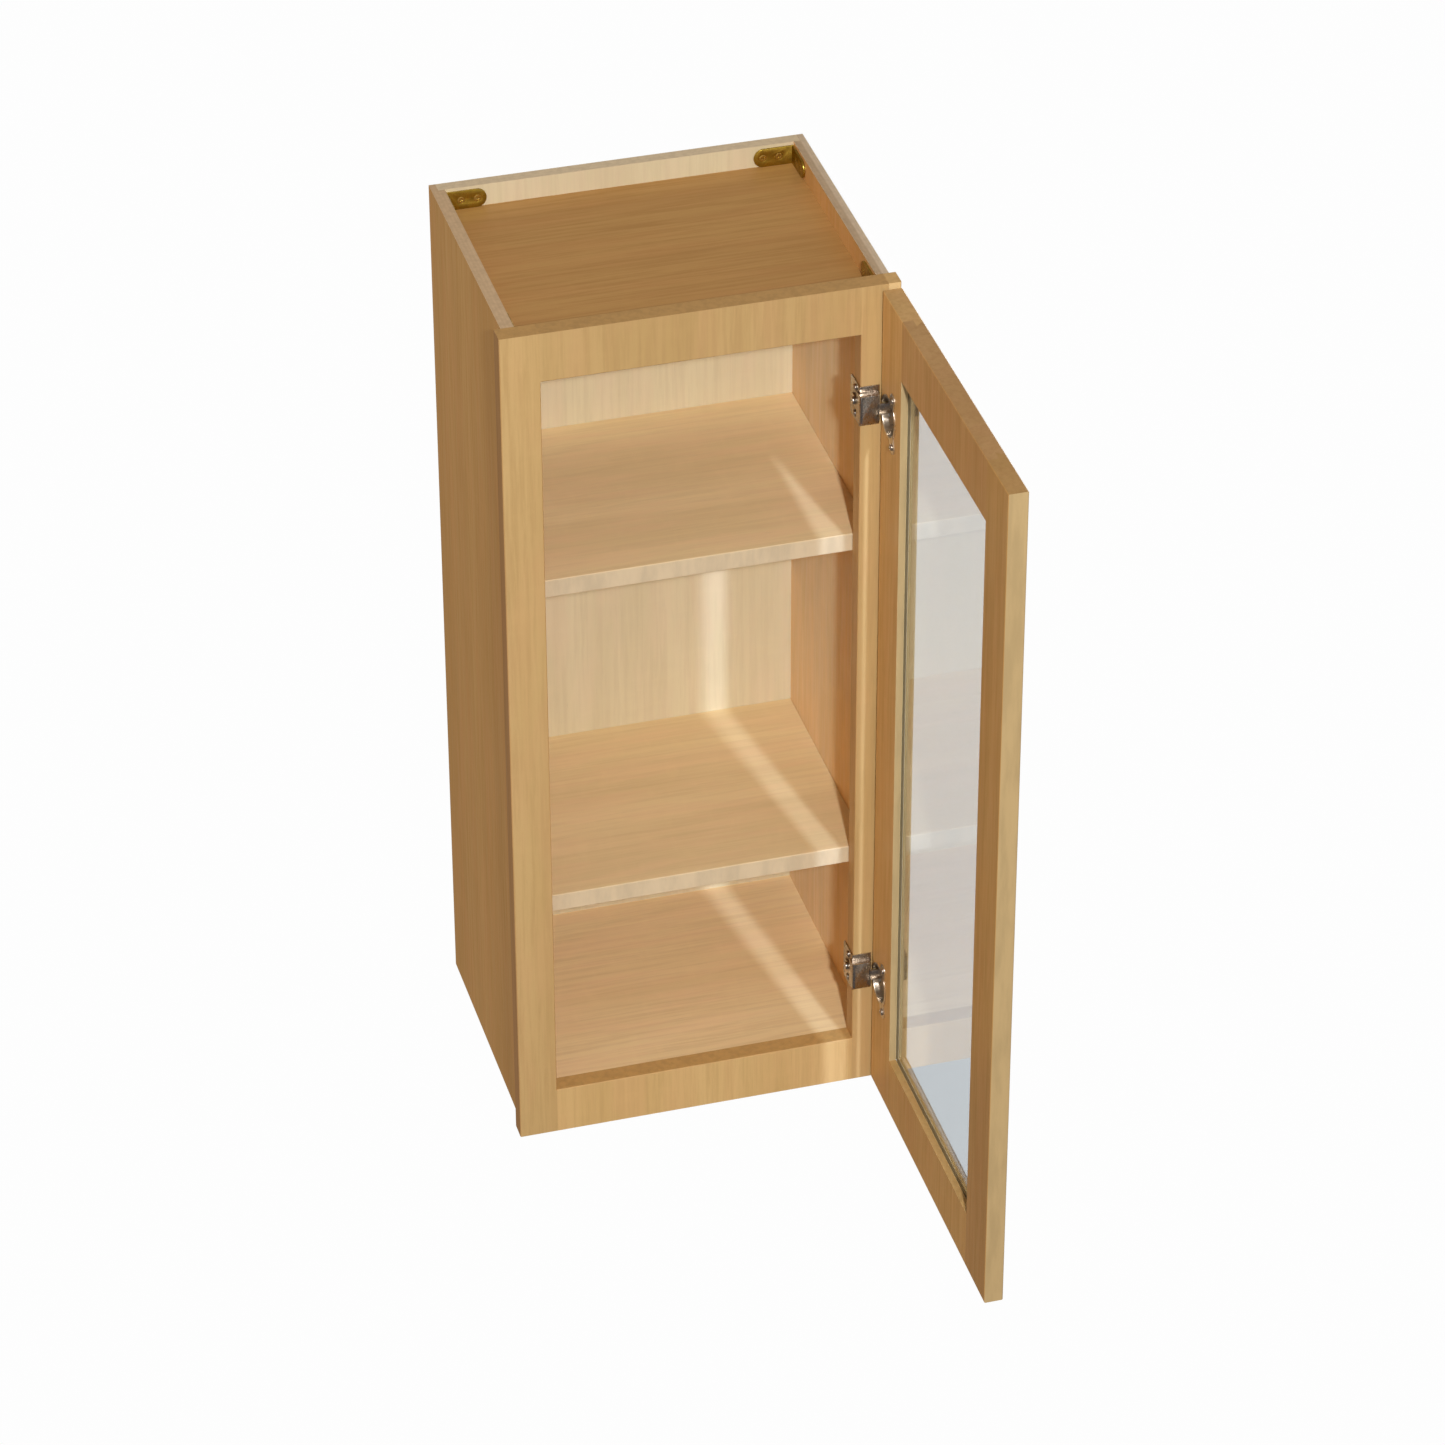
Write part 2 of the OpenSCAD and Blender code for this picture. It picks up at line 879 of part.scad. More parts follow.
module hinge_cup(z) {
  color(nickel)
    at_hinge(z)
      difference() {
        union() {
          cup_flange();
          difference() {
            translate([cup_u, 0, -cup_wall])
              cylinder(r = cup_r, h = cup_deep + cup_wall);
            translate([cup_u, 0, -cup_wall - eps])
              cylinder(r = cup_r - cup_wall, h = cup_deep);
          }
        }
        block([-5, -window_half, -cup_wall - 1], [pivot_in + 1, window_half, pivot_deep + 3]);
        translate([pivot_in, -hinge_pin_half - 2, pivot_deep])
          rotate([-90, 0, 0])
            cylinder(r = hinge_pin_r + pin_press, h = 2 * hinge_pin_half + 4);
      }
}

module upper_hinge_cup() {
  hinge_cup(upper_hinge_z);
}

module lower_hinge_cup() {
  hinge_cup(lower_hinge_z);
}

module hinge_pin(z) {
  color([0.7, 0.7, 0.7])
    translate([pivot_x, pivot_y, z - hinge_pin_half])
      cylinder(r = hinge_pin_r, h = 2 * hinge_pin_half);
}

module upper_hinge_pin() {
  hinge_pin(upper_hinge_z);
}

module lower_hinge_pin() {
  hinge_pin(lower_hinge_z);
}

// Closing spring: a bent steel leaf staked to the cup's floor, its tip under the knuckle
module hinge_spring(z) {
  floor_d = cup_deep - cup_wall - 0.05;
  tip_d = pivot_deep + knuckle_r + 0.3;
  color([0.6, 0.6, 0.62])
    at_hinge(z)
      translate([0, -spring_w / 2, 0])
        rotate([-90, 0, 0])
          mirror([0, 1, 0])
            linear_extrude(spring_w)
              polygon([
                [34, floor_d - spring_t], [34, floor_d], [14, floor_d],
                [6, tip_d + spring_t], [6, tip_d], [13.5, floor_d - spring_t]
              ]);
}

module upper_hinge_spring() {
  hinge_spring(upper_hinge_z);
}

module lower_hinge_spring() {
  hinge_spring(lower_hinge_z);
}

// Two pan-head screws through the cup's wings
module hinge_cup_screws(z) {
  color(nickel)
    at_hinge(z)
      for (s = [-1, 1])
        translate([wing_u, s * wing_z, -cup_wall])
          mirror([0, 0, 1])
            pan_screw(csk_r, cup_screw_len);
}

module upper_hinge_cup_screws() {
  hinge_cup_screws(upper_hinge_z);
}

module lower_hinge_cup_screws() {
  hinge_cup_screws(lower_hinge_z);
}

// ---------- assembly ----------

left_side_panel();
right_side_panel();
back_panel();
top_panel();
bottom_panel();
frame_left_stile();
frame_right_stile();
frame_top_rail();
frame_bottom_rail();
frame_dowels();
upper_shelf();
lower_shelf();
upper_shelf_pins();
lower_shelf_pins();
bracket_top_back_left();
bracket_top_back_right();
bracket_top_front_left();
bracket_top_front_right();
bracket_bottom_back_left();
bracket_bottom_back_right();
bracket_bottom_front_left();
bracket_bottom_front_right();
top_bracket_screws();
bottom_bracket_screws();
upper_hinge_base();
lower_hinge_base();
upper_hinge_arm();
lower_hinge_arm();
upper_hinge_frame_screws();
lower_hinge_frame_screws();
upper_hinge_cam();
lower_hinge_cam();
door_hinge_stile();
door_free_stile();
door_top_rail();
door_bottom_rail();
door_glass();
glass_seal();
upper_hinge_cup();
lower_hinge_cup();
upper_hinge_pin();
lower_hinge_pin();
upper_hinge_spring();
lower_hinge_spring();
upper_hinge_cup_screws();
lower_hinge_cup_screws();
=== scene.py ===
import json
import math

import bmesh
import bpy
import numpy as np
from mathutils import Euler, Matrix, Vector

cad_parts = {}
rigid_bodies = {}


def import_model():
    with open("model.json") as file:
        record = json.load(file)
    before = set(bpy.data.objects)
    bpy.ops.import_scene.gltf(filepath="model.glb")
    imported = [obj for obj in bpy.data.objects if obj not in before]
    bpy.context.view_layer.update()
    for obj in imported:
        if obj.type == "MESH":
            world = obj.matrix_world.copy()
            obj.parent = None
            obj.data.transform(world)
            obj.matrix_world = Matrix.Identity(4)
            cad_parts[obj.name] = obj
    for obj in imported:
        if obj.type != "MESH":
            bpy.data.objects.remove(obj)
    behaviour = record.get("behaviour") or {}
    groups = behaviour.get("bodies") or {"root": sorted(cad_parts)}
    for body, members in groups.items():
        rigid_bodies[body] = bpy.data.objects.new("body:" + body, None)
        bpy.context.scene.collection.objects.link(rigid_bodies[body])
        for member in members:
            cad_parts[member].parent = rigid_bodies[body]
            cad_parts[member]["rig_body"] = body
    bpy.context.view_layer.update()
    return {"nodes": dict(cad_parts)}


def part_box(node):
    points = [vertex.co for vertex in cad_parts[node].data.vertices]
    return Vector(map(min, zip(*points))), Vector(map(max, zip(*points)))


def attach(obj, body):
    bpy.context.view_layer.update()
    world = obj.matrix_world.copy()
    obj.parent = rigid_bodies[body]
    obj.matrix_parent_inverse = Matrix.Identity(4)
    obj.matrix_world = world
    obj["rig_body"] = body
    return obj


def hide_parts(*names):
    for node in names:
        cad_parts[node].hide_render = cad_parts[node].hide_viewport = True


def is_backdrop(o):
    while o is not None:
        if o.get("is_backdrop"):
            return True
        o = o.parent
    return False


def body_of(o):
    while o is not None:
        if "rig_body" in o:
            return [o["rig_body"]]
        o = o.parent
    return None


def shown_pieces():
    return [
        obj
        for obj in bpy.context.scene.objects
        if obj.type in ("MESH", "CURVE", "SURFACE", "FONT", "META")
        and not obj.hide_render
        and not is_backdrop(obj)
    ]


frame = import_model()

scene = bpy.context.scene

# ---------- plywood sides ----------
# The two sides are 12.7 mm plywood with a clear-finished maple face, cut to the full
# height. Their grain runs up, and the plies show on the bare top, bottom and rear edges.


def new_material(name):
    """An empty node material: returns it, its tree and its Principled shader."""
    mat = bpy.data.materials.new(name)
    mat.use_nodes = True
    tree = mat.node_tree
    return mat, tree, tree.nodes["Principled BSDF"]


def math_node(tree, kind, a, b, clamp=False):
    """One maths step on two numbers or sockets."""
    n = tree.nodes.new("ShaderNodeMath")
    n.operation, n.use_clamp = kind, clamp
    for socket, value in zip(n.inputs, (a, b)):
        if isinstance(value, (int, float)):
            socket.default_value = value
        else:
            tree.links.new(value, socket)
    return n.outputs[0]


def stretched_noise(tree, per_metre, shift, detail=3.0, rough=0.5, warp=0.0):
    """Noise whose spots repeat per_metre times a metre along the piece's own x, y and z."""
    coords = tree.nodes.new("ShaderNodeTexCoord")
    place = tree.nodes.new("ShaderNodeMapping")
    place.inputs["Scale"].default_value = per_metre
    place.inputs["Location"].default_value = shift
    noise = tree.nodes.new("ShaderNodeTexNoise")
    noise.inputs["Scale"].default_value = 1.0
    noise.inputs["Detail"].default_value = detail
    noise.inputs["Roughness"].default_value = rough
    noise.inputs["Distortion"].default_value = warp
    tree.links.new(coords.outputs["Object"], place.inputs["Vector"])
    tree.links.new(place.outputs["Vector"], noise.inputs["Vector"])
    return noise.outputs["Fac"]


def spread(tree, value, low, high, to_low=0.0, to_high=1.0):
    """value stretched so that low..high becomes to_low..to_high, and held there outside it."""
    n = tree.nodes.new("ShaderNodeMapRange")
    n.interpolation_type = "SMOOTHSTEP"
    tree.links.new(value, n.inputs["Value"])
    ends = {"From Min": low, "From Max": high, "To Min": to_low, "To Max": to_high}
    for name, number in ends.items():
        n.inputs[name].default_value = number
    return n.outputs["Result"]


def blend_colours(tree, amount, first, second, how="MIX"):
    """Colour first turned into second by amount."""
    n = tree.nodes.new("ShaderNodeMix")
    n.data_type, n.blend_type = "RGBA", how
    for socket, value in ((n.inputs[0], amount), (n.inputs[6], first), (n.inputs[7], second)):
        if isinstance(value, (int, float)):
            socket.default_value = value
        elif isinstance(value, tuple):
            socket.default_value = value + (1.0,)
        else:
            tree.links.new(value, socket)
    return n.outputs[2]


def own_part(tree, kind, axis):
    """The piece's own "Object" place or "Normal", along one axis (0, 1 or 2)."""
    coords = tree.nodes.new("ShaderNodeTexCoord")
    parts = tree.nodes.new("ShaderNodeSeparateXYZ")
    tree.links.new(coords.outputs[kind], parts.inputs[0])
    return parts.outputs[axis]


def faces_towards(tree, axis):
    """1 on faces square to the piece's own axis (0, 1 or 2), 0 on the rest."""
    size = math_node(tree, "ABSOLUTE", own_part(tree, "Normal", axis), 0.0)
    return spread(tree, size, 0.6, 0.8)


def along(grain, across, down_grain):
    """Noise rates in x, y and z: down_grain along the grain axis, across on the other two."""
    return tuple(down_grain if i == grain else across for i in range(3))


def maple_finish(name, pale, dark, grain, shift, warm=0.5, edges=None, edge_axes=(), plies=None,
                 edge_rates=(170.0, 170.0, 170.0), inner=None, painted_top_shade=None, streak=0.62,
                 painted_side_shade=None):
    """Clear-finished maple. grain is the axis the fibres follow. Broad bands, fine streaks,
    short pores and a faint cross curl are noises stretched along that axis; pale and dark
    are the wood's two tones. edges is the tone of the cut faces square to edge_axes, where
    plies, an axis, gives the direction that the veneers are stacked in. inner gives the two
    tones of the face turned to the inside of a side, found from its distance off the middle.
    upward and sideways are painted shade: colours that the faces square to z and to x are
    multiplied by, to darken them where less light falls. streak is how strong the fine lines are."""
    mat, tree, shader = new_material(name)
    bands = stretched_noise(tree, along(grain, 16.0, 1.1), shift, 4.0, 0.55, 0.35)
    streaks = stretched_noise(tree, along(grain, 190.0, 8.0), shift, 6.0, 0.68, 0.2)
    pores = stretched_noise(tree, along(grain, 620.0, 38.0), shift, 2.0, 0.5)
    curl = stretched_noise(tree, along(grain, 26.0, 60.0), shift, 2.0, 0.5, 0.4)
    blush = stretched_noise(tree, along(grain, 38.0, 7.0), shift[::-1], 3.0, 0.6)
    tone = spread(tree, bands, 0.34, 0.66)
    wood = blend_colours(tree, tone, pale, dark)
    if inner is not None:
        inside_ends, outside_starts = 0.176, 0.182
        off_middle = math_node(tree, "ABSOLUTE", own_part(tree, "Object", 0), 0.0)
        out = spread(tree, off_middle, inside_ends, outside_starts)
        wood = blend_colours(tree, out, blend_colours(tree, tone, *inner), wood)
    fine = spread(tree, streaks, 0.40, 0.66, 0.0, streak)
    wood = blend_colours(tree, fine, wood, tuple(k * c for k, c in zip((0.89, 0.86, 0.85), dark)))
    pink = tuple(min(1.0, c * k) for c, k in zip(pale, (1.04, 0.92, 0.99)))
    wood = blend_colours(tree, spread(tree, blush, 0.40, 0.66, 0.0, warm), wood, pink)
    sheer = spread(tree, curl, 0.5, 0.74, 0.0, 0.05)
    wood = blend_colours(tree, sheer, wood, tuple(1.25 * c for c in pale))
    speck = spread(tree, pores, 0.66, 0.80, 0.0, 0.16)
    wood = blend_colours(tree, speck, wood, tuple(0.55 * c for c in dark))
    if edges is not None:
        cut = stretched_noise(tree, edge_rates, shift, 4.0, 0.6)
        rough_cut = spread(tree, cut, 0.35, 0.7)
        end = blend_colours(tree, rough_cut, edges, tuple(0.86 * c for c in edges))
        if plies is not None:
            two_plies = 0.0036
            turns = 2 * math.pi / two_plies
            layers = math_node(tree, "MULTIPLY", own_part(tree, "Object", plies), turns)
            layers = math_node(tree, "SINE", layers, 0.0)
            layers = spread(tree, layers, -0.5, 0.5, 0.0, 0.30)
            end = blend_colours(tree, layers, end, tuple(0.80 * c for c in edges))
        share = faces_towards(tree, edge_axes[0])
        for axis in edge_axes[1:]:
            share = math_node(tree, "MAXIMUM", share, faces_towards(tree, axis))
        wood = blend_colours(tree, share, wood, end)
    # Painted shade: the faces square to z and to x are tinted darker, where less light falls on
    # them.
    for axis, painted_shade in ((2, painted_top_shade), (0, painted_side_shade)):
        if painted_shade is not None:
            shaded = blend_colours(tree, 1.0, wood, painted_shade, "MULTIPLY")
            wood = blend_colours(tree, faces_towards(tree, axis), wood, shaded)
    tree.links.new(wood, shader.inputs["Base Color"])
    sheen = spread(tree, streaks, 0.3, 0.7, 0.37, 0.51)
    tree.links.new(sheen, shader.inputs["Roughness"])
    ridges = math_node(tree, "MULTIPLY", streaks, 0.6)
    height = math_node(tree, "ADD", ridges, math_node(tree, "MULTIPLY", speck, -1.2))
    bump = tree.nodes.new("ShaderNodeBump")
    bump.inputs["Strength"].default_value = 0.22
    bump.inputs["Distance"].default_value = 0.0004
    tree.links.new(height, bump.inputs["Height"])
    tree.links.new(bump.outputs["Normal"], shader.inputs["Normal"])
    shader.inputs["Specular IOR Level"].default_value = 0.25
    return mat


def finish_node(node, mat):
    """Puts a finish on a CAD node as it stands."""
    for held in frame["nodes"][node].material_slots:
        held.material = mat


side_tones = ((0.90, 0.56, 0.200), (0.81, 0.48, 0.157))
inside_tones = ((0.83, 0.49, 0.20), (0.74, 0.415, 0.155))
finish_node("left_side_panel", maple_finish(
    "left_side_maple", *side_tones, 2, (3.1, 1.7, 0.4), 0.35,
    (0.64, 0.46, 0.28), (1, 2), 0, inner=inside_tones))
finish_node("right_side_panel", maple_finish(
    "right_side_maple", *side_tones, 2, (7.3, 2.9, 5.2), 0.35,
    (0.53, 0.395, 0.255), (1, 2), 0, inner=inside_tones))

# ---------- back ----------
# One sheet of the same plywood let into grooves in the sides, with its paler birch face
# to the inside. The grain stands upright, with fainter streaks than the sides have.

finish_node("back_panel", maple_finish(
    "back_birch", (0.75, 0.66, 0.445), (0.69, 0.595, 0.39), 2, (1.4, 8.8, 2.6), 0.3,
    (0.74, 0.61, 0.42), (2,), 1, streak=0.4))

# ---------- top and bottom ----------
# Two plywood panels housed in the sides. Their face grain runs from side to side, with
# long soft bands, and the top one is seen through the open frame above it.

# The top panel is the same plywood as the bottom, but its much darker tone is painted shade, for
# the recessed top where less light falls.
finish_node("top_panel", maple_finish(
    "top_maple_painted_shade", (0.53, 0.305, 0.103), (0.46, 0.250, 0.080), 0, (5.5, 4.1, 1.3), 0.3,
    (0.40, 0.29, 0.19), (1,), 2))
finish_node("bottom_panel", maple_finish(
    "bottom_maple", (0.92, 0.70, 0.39), (0.85, 0.62, 0.33), 0, (9.2, 6.4, 3.7), 0.35,
    (0.40, 0.29, 0.19), (1,), 2))

# ---------- face frame ----------
# Solid maple stiles and rails, butted and dowelled, and glued to the front of the box.
# The faces are sanded flush, so that a joint shows only as a change in the grain.

frame_tones = ((0.62, 0.425, 0.190), (0.56, 0.372, 0.156))
for part, shift, pale in (
    ("left_stile", (2.2, 5.1, 7.7), 1.02), ("right_stile", (6.1, 3.3, 1.9), 1.0),
    ("top_rail", (4.6, 9.4, 3.2), 0.97), ("bottom_rail", (8.3, 1.2, 6.6), 1.16),
):
    # The faces square to x, the sides of the stiles and the ends of the rails, get painted shade:
    # a warmer, darker tint where less light reaches them.
    finish_node("frame_" + part, maple_finish(
        "frame_" + part + "_maple", *(tuple(pale * c for c in tone) for tone in frame_tones),
        2, shift, 0.3, tuple(pale * c for c in (0.52, 0.31, 0.112)), (2,),
        painted_side_shade=(1.0, 0.84, 0.70)))
finish_node("frame_dowels", maple_finish(
    "dowel_beech", (0.56, 0.38, 0.22), (0.47, 0.30, 0.16), 0, (1.0, 2.0, 3.0)))

# ---------- shelves ----------
# Two 19 mm plywood shelves, loose on their pins. A pale strip of edging covers the
# front, and the face grain runs from side to side.

shelf_tones = ((0.88, 0.685, 0.385), (0.80, 0.605, 0.33))
for part, shift, pale, band in (
    ("upper_shelf", (3.9, 7.2, 2.4), 1.06, 0.98), ("lower_shelf", (7.7, 2.1, 9.9), 0.97, 1.04),
):
    finish_node(part, maple_finish(
        part + "_maple", *(tuple(pale * c for c in tone) for tone in shelf_tones),
        0, shift, 0.35, tuple(band * c for c in (0.73, 0.585, 0.395)), (1,), None,
        (60.0, 60.0, 16.0), streak=0.45))

# ---------- shelf pins ----------
# Stamped steel shelf pins, nickel plated, pushed into bored holes in the sides.


def metal_finish(name, colour, dull, rough, dust=0.35):
    """Plated or rolled metal: colour with patches turned towards dull, fine scratches in
    the roughness and a hammered-sheet bump, all from noise in the piece's coordinates."""
    mat, tree, shader = new_material(name)
    cloud = stretched_noise(tree, (120.0, 120.0, 120.0), (0.3, 0.7, 0.1), 4.0, 0.6)
    scratch = stretched_noise(tree, (2600.0, 2600.0, 240.0), (0.9, 0.2, 0.5), 3.0, 0.6)
    tint = blend_colours(tree, spread(tree, cloud, 0.42, 0.66, 0.0, dust), colour, dull)
    tree.links.new(tint, shader.inputs["Base Color"])
    shader.inputs["Metallic"].default_value = 1.0
    both = math_node(tree, "ADD", math_node(tree, "MULTIPLY", cloud, 0.6),
                     math_node(tree, "MULTIPLY", scratch, 0.4))
    dullness = spread(tree, both, 0.35, 0.65, rough - 0.07, rough + 0.12)
    tree.links.new(dullness, shader.inputs["Roughness"])
    bump = tree.nodes.new("ShaderNodeBump")
    bump.inputs["Strength"].default_value = 0.06
    bump.inputs["Distance"].default_value = 0.0002
    tree.links.new(both, bump.inputs["Height"])
    tree.links.new(bump.outputs["Normal"], shader.inputs["Normal"])
    return mat


pin_nickel = metal_finish("pin_nickel", (0.62, 0.58, 0.52), (0.40, 0.36, 0.31), 0.30)
for part in ("upper_shelf_pins", "lower_shelf_pins"):
    finish_node(part, pin_nickel)

# ---------- corner brackets ----------
# Eight pressed brass-plated steel angles, screwed through both legs into the box's corners
# above the top panel and below the bottom one. Each is its CAD node with the edges rounded.


def rounded_over(node, body, mat, radius, steps=2):
    """A finished copy of a metal node: its loose triangles are merged, flat runs of them are
    joined, and every edge sharper than 30 degrees is rounded to radius in so many steps."""
    mesh = frame["nodes"][node].data.copy()
    shell = bmesh.new()
    shell.from_mesh(mesh)
    same_place, same_plane, sharp = 2e-6, math.radians(0.5), math.radians(30)
    bmesh.ops.remove_doubles(shell, verts=shell.verts, dist=same_place)
    bmesh.ops.dissolve_limit(shell, angle_limit=same_plane, verts=shell.verts, edges=shell.edges)
    shell.to_mesh(mesh)
    shell.free()
    mesh.materials.clear()
    mesh.materials.append(mat)
    count = len(mesh.polygons)
    mesh.polygons.foreach_set("material_index", np.zeros(count, dtype=np.int32))
    mesh.polygons.foreach_set("use_smooth", np.ones(count, dtype=bool))
    piece = bpy.data.objects.new(node + "_rounded", mesh)
    scene.collection.objects.link(piece)
    ease = piece.modifiers.new("rounded_edges", "BEVEL")
    ease.width, ease.segments = radius, steps
    ease.limit_method, ease.angle_limit = "ANGLE", sharp
    ease.harden_normals = True
    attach(piece, body)
    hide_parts(node)
    return piece


bracket_brass = metal_finish("bracket_brass", (0.46, 0.33, 0.055), (0.27, 0.18, 0.03), 0.30, 0.6)
screw_brass = metal_finish("screw_brass", (0.60, 0.44, 0.13), (0.36, 0.25, 0.07), 0.24, 0.5)
for row in ("top", "bottom"):
    for place in ("back_left", "back_right", "front_left", "front_right"):
        rounded_over("bracket_" + row + "_" + place, "cabinet",
                     bracket_brass, 0.0005)
    rounded_over(row + "_bracket_screws", "cabinet", screw_brass, 0.0003)

# ---------- hinges on the frame ----------
# Wrap-around hinge plates of nickel-plated steel: a bent base over the stile's edge, a
# folded arm housing clamped on it by a cam, and two screws. Their edges are rounded.

hinge_nickel = metal_finish("hinge_nickel", (0.47, 0.41, 0.35), (0.40, 0.34, 0.28), 0.24, 0.35)
screw_nickel = metal_finish("screw_nickel", (0.60, 0.55, 0.49), (0.40, 0.35, 0.30), 0.26, 0.4)
for part in ("upper_hinge_", "lower_hinge_"):
    rounded_over(part + "base", "cabinet", hinge_nickel, 0.0003)
    rounded_over(part + "arm", "cabinet", hinge_nickel, 0.0006)
    rounded_over(part + "cam", "cabinet", screw_nickel, 0.0005)
    rounded_over(part + "frame_screws", "cabinet", screw_nickel, 0.0008, 3)

# ---------- door frame ----------
# Solid maple stiles and rails, coped and tenoned, with a bevelled sight edge outside and
# a rebate for the glass inside. The outer edges are rounded over.

door_tones = ((0.71, 0.445, 0.172), (0.63, 0.376, 0.134))
for part, shift, pale in (
    ("hinge_stile", (1.9, 6.3, 4.4), (1.12, 1.10, 1.09)),
    ("free_stile", (5.8, 2.7, 8.1), (0.92, 0.87, 0.80)),
    ("top_rail", (9.6, 4.9, 2.2), (0.92, 0.86, 0.88)),
    ("bottom_rail", (3.4, 8.5, 5.9), (1.12, 1.10, 1.02)),
):
    # The faces square to z, the door's top and bottom edges and its ledges, get painted shade: a
    # cooler, darker tint where less light falls on them.
    finish_node("door_" + part, maple_finish(
        "door_" + part + "_maple",
        *(tuple(np.multiply(pale, tone).tolist()) for tone in door_tones),
        2, shift, 0.25, (0.59, 0.435, 0.22), (1,), None, (90.0, 90.0, 14.0),
        painted_top_shade=(0.75, 0.78, 0.83)))

# ---------- glass ----------
# A 3.2 mm clear pane dropped into the rebate from the inside and bedded on a thin line
# of clear silicone.


def mix_shaders(tree, amount, first, second):
    """Shader first turned into second by amount."""
    n = tree.nodes.new("ShaderNodeMixShader")
    for socket, value in zip(n.inputs, (amount, first, second)):
        tree.links.new(value, socket)
    return n.outputs[0]


mat, tree, shader = new_material("door_glass")
shader.inputs["Base Color"].default_value = (0.69, 0.735, 0.76, 1.0)
shader.inputs["Transmission Weight"].default_value = 1.0
shader.inputs["IOR"].default_value = 1.5
film = stretched_noise(tree, (14.0, 14.0, 5.0), (0.4, 0.6, 0.2), 3.0, 0.5)
tree.links.new(spread(tree, film, 0.45, 0.75, 0.0, 0.012), shader.inputs["Roughness"])
path = tree.nodes.new("ShaderNodeLightPath")
clear = tree.nodes.new("ShaderNodeBsdfTransparent")
clear.inputs["Color"].default_value = (0.86, 0.90, 0.92, 1.0)
either = mix_shaders(tree, path.outputs["Is Shadow Ray"], shader.outputs[0], clear.outputs[0])
tree.links.new(either, tree.nodes["Material Output"].inputs["Surface"])
finish_node("door_glass", mat)

mat, tree, shader = new_material("seal_silicone")
smear = stretched_noise(tree, (90.0, 90.0, 90.0), (0.1, 0.1, 0.1), 3.0, 0.6)
silicone = blend_colours(tree, smear, (0.80, 0.70, 0.50), (0.70, 0.60, 0.42))
tree.links.new(silicone, shader.inputs["Base Color"])
tree.links.new(spread(tree, smear, 0.3, 0.7, 0.30, 0.50), shader.inputs["Roughness"])
finish_node("glass_seal", mat)

# ---------- hinges on the door ----------
# Pressed nickel-plated cups let into the hinge stile, each with a steel pin, a closing
# spring in its floor and two screws through its wings. Cups and screws have rounded edges.

steel = metal_finish("pin_steel", (0.62, 0.61, 0.60), (0.42, 0.41, 0.40), 0.22, 0.3)
cup_nickel = metal_finish("cup_nickel", (0.74, 0.66, 0.55), (0.50, 0.42, 0.33), 0.30, 0.5)
for part in ("upper_hinge_", "lower_hinge_"):
    rounded_over(part + "cup", "door", cup_nickel, 0.0003)
    finish_node(part + "pin", steel)
    finish_node(part + "spring", steel)
    rounded_over(part + "cup_screws", "door", screw_nickel, 0.0008, 3)

# ---------- floor ----------
# A plain studio floor well below the hanging cabinet, wide enough to fill the view. It is
# white when looked at, dimmer and warmer as light, and not there from beneath.

floor_z = -1.4
reach = 40.0
studio_white = (0.985, 0.985, 0.985)


def looked_at(tree, path):
    """1 for what is seen directly or through the glass, 0 for what only lights."""
    return math_node(tree, "MAXIMUM", path.outputs["Is Camera Ray"],
                     path.outputs["Is Transmission Ray"])


mesh = bpy.data.meshes.new("floor")
mesh.from_pydata(
    [(x, y, floor_z) for x, y in (
        (-reach, -reach), (reach, -reach), (reach, reach), (-reach, reach))],
    [], [(0, 1, 2, 3)])
floor = bpy.data.objects.new("floor", mesh)
scene.collection.objects.link(floor)
floor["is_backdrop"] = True
mat, tree, shader = new_material("floor_white")
glow = tree.nodes.new("ShaderNodeEmission")
path = tree.nodes.new("ShaderNodeLightPath")
bounced = blend_colours(
    tree, path.outputs["Is Glossy Ray"], (0.38, 0.312, 0.245), (0.12, 0.12, 0.13))
shown = blend_colours(tree, looked_at(tree, path), bounced, studio_white)
tree.links.new(shown, glow.inputs["Color"])
under = tree.nodes.new("ShaderNodeNewGeometry")
hole = tree.nodes.new("ShaderNodeBsdfTransparent")
either = mix_shaders(tree, under.outputs["Backfacing"], glow.outputs[0], hole.outputs[0])
tree.links.new(either, tree.nodes["Material Output"].inputs["Surface"])
mat.cycles.emission_sampling = "NONE"
mesh.materials.append(mat)

# ---------- light ----------
# One soft key lamp in front, a little left of centre and above, a dim even sky and two
# weak fills. The rake and bounce lamps reach only the pieces that their comments name.

world = bpy.data.worlds.new("studio")
scene.world = world
world.use_nodes = True
tree = world.node_tree
sky = tree.nodes["Background"]
sky.inputs["Color"].default_value = (1.0, 0.85, 0.70, 1.0)
sky.inputs["Strength"].default_value = 0.36
wall = tree.nodes.new("ShaderNodeBackground")
wall.inputs["Color"].default_value = studio_white + (1.0,)
path = tree.nodes.new("ShaderNodeLightPath")
either = mix_shaders(tree, looked_at(tree, path), sky.outputs[0], wall.outputs[0])
tree.links.new(either, tree.nodes["World Output"].inputs["Surface"])
world.cycles.sampling_method = "NONE"


def lamp(name, kind, power, colour, place):
    """A lamp of so many watts at a place in the studio."""
    made = bpy.data.objects.new(name, bpy.data.lights.new(name, kind))
    made.data.energy, made.data.color = power, colour
    made.location = place
    scene.collection.objects.link(made)
    return made


def group(name, members):
    """A collection of the pieces that a lamp reaches or is blocked by."""
    made = bpy.data.collections.new(name)
    for member in members:
        made.objects.link(member)
    return made


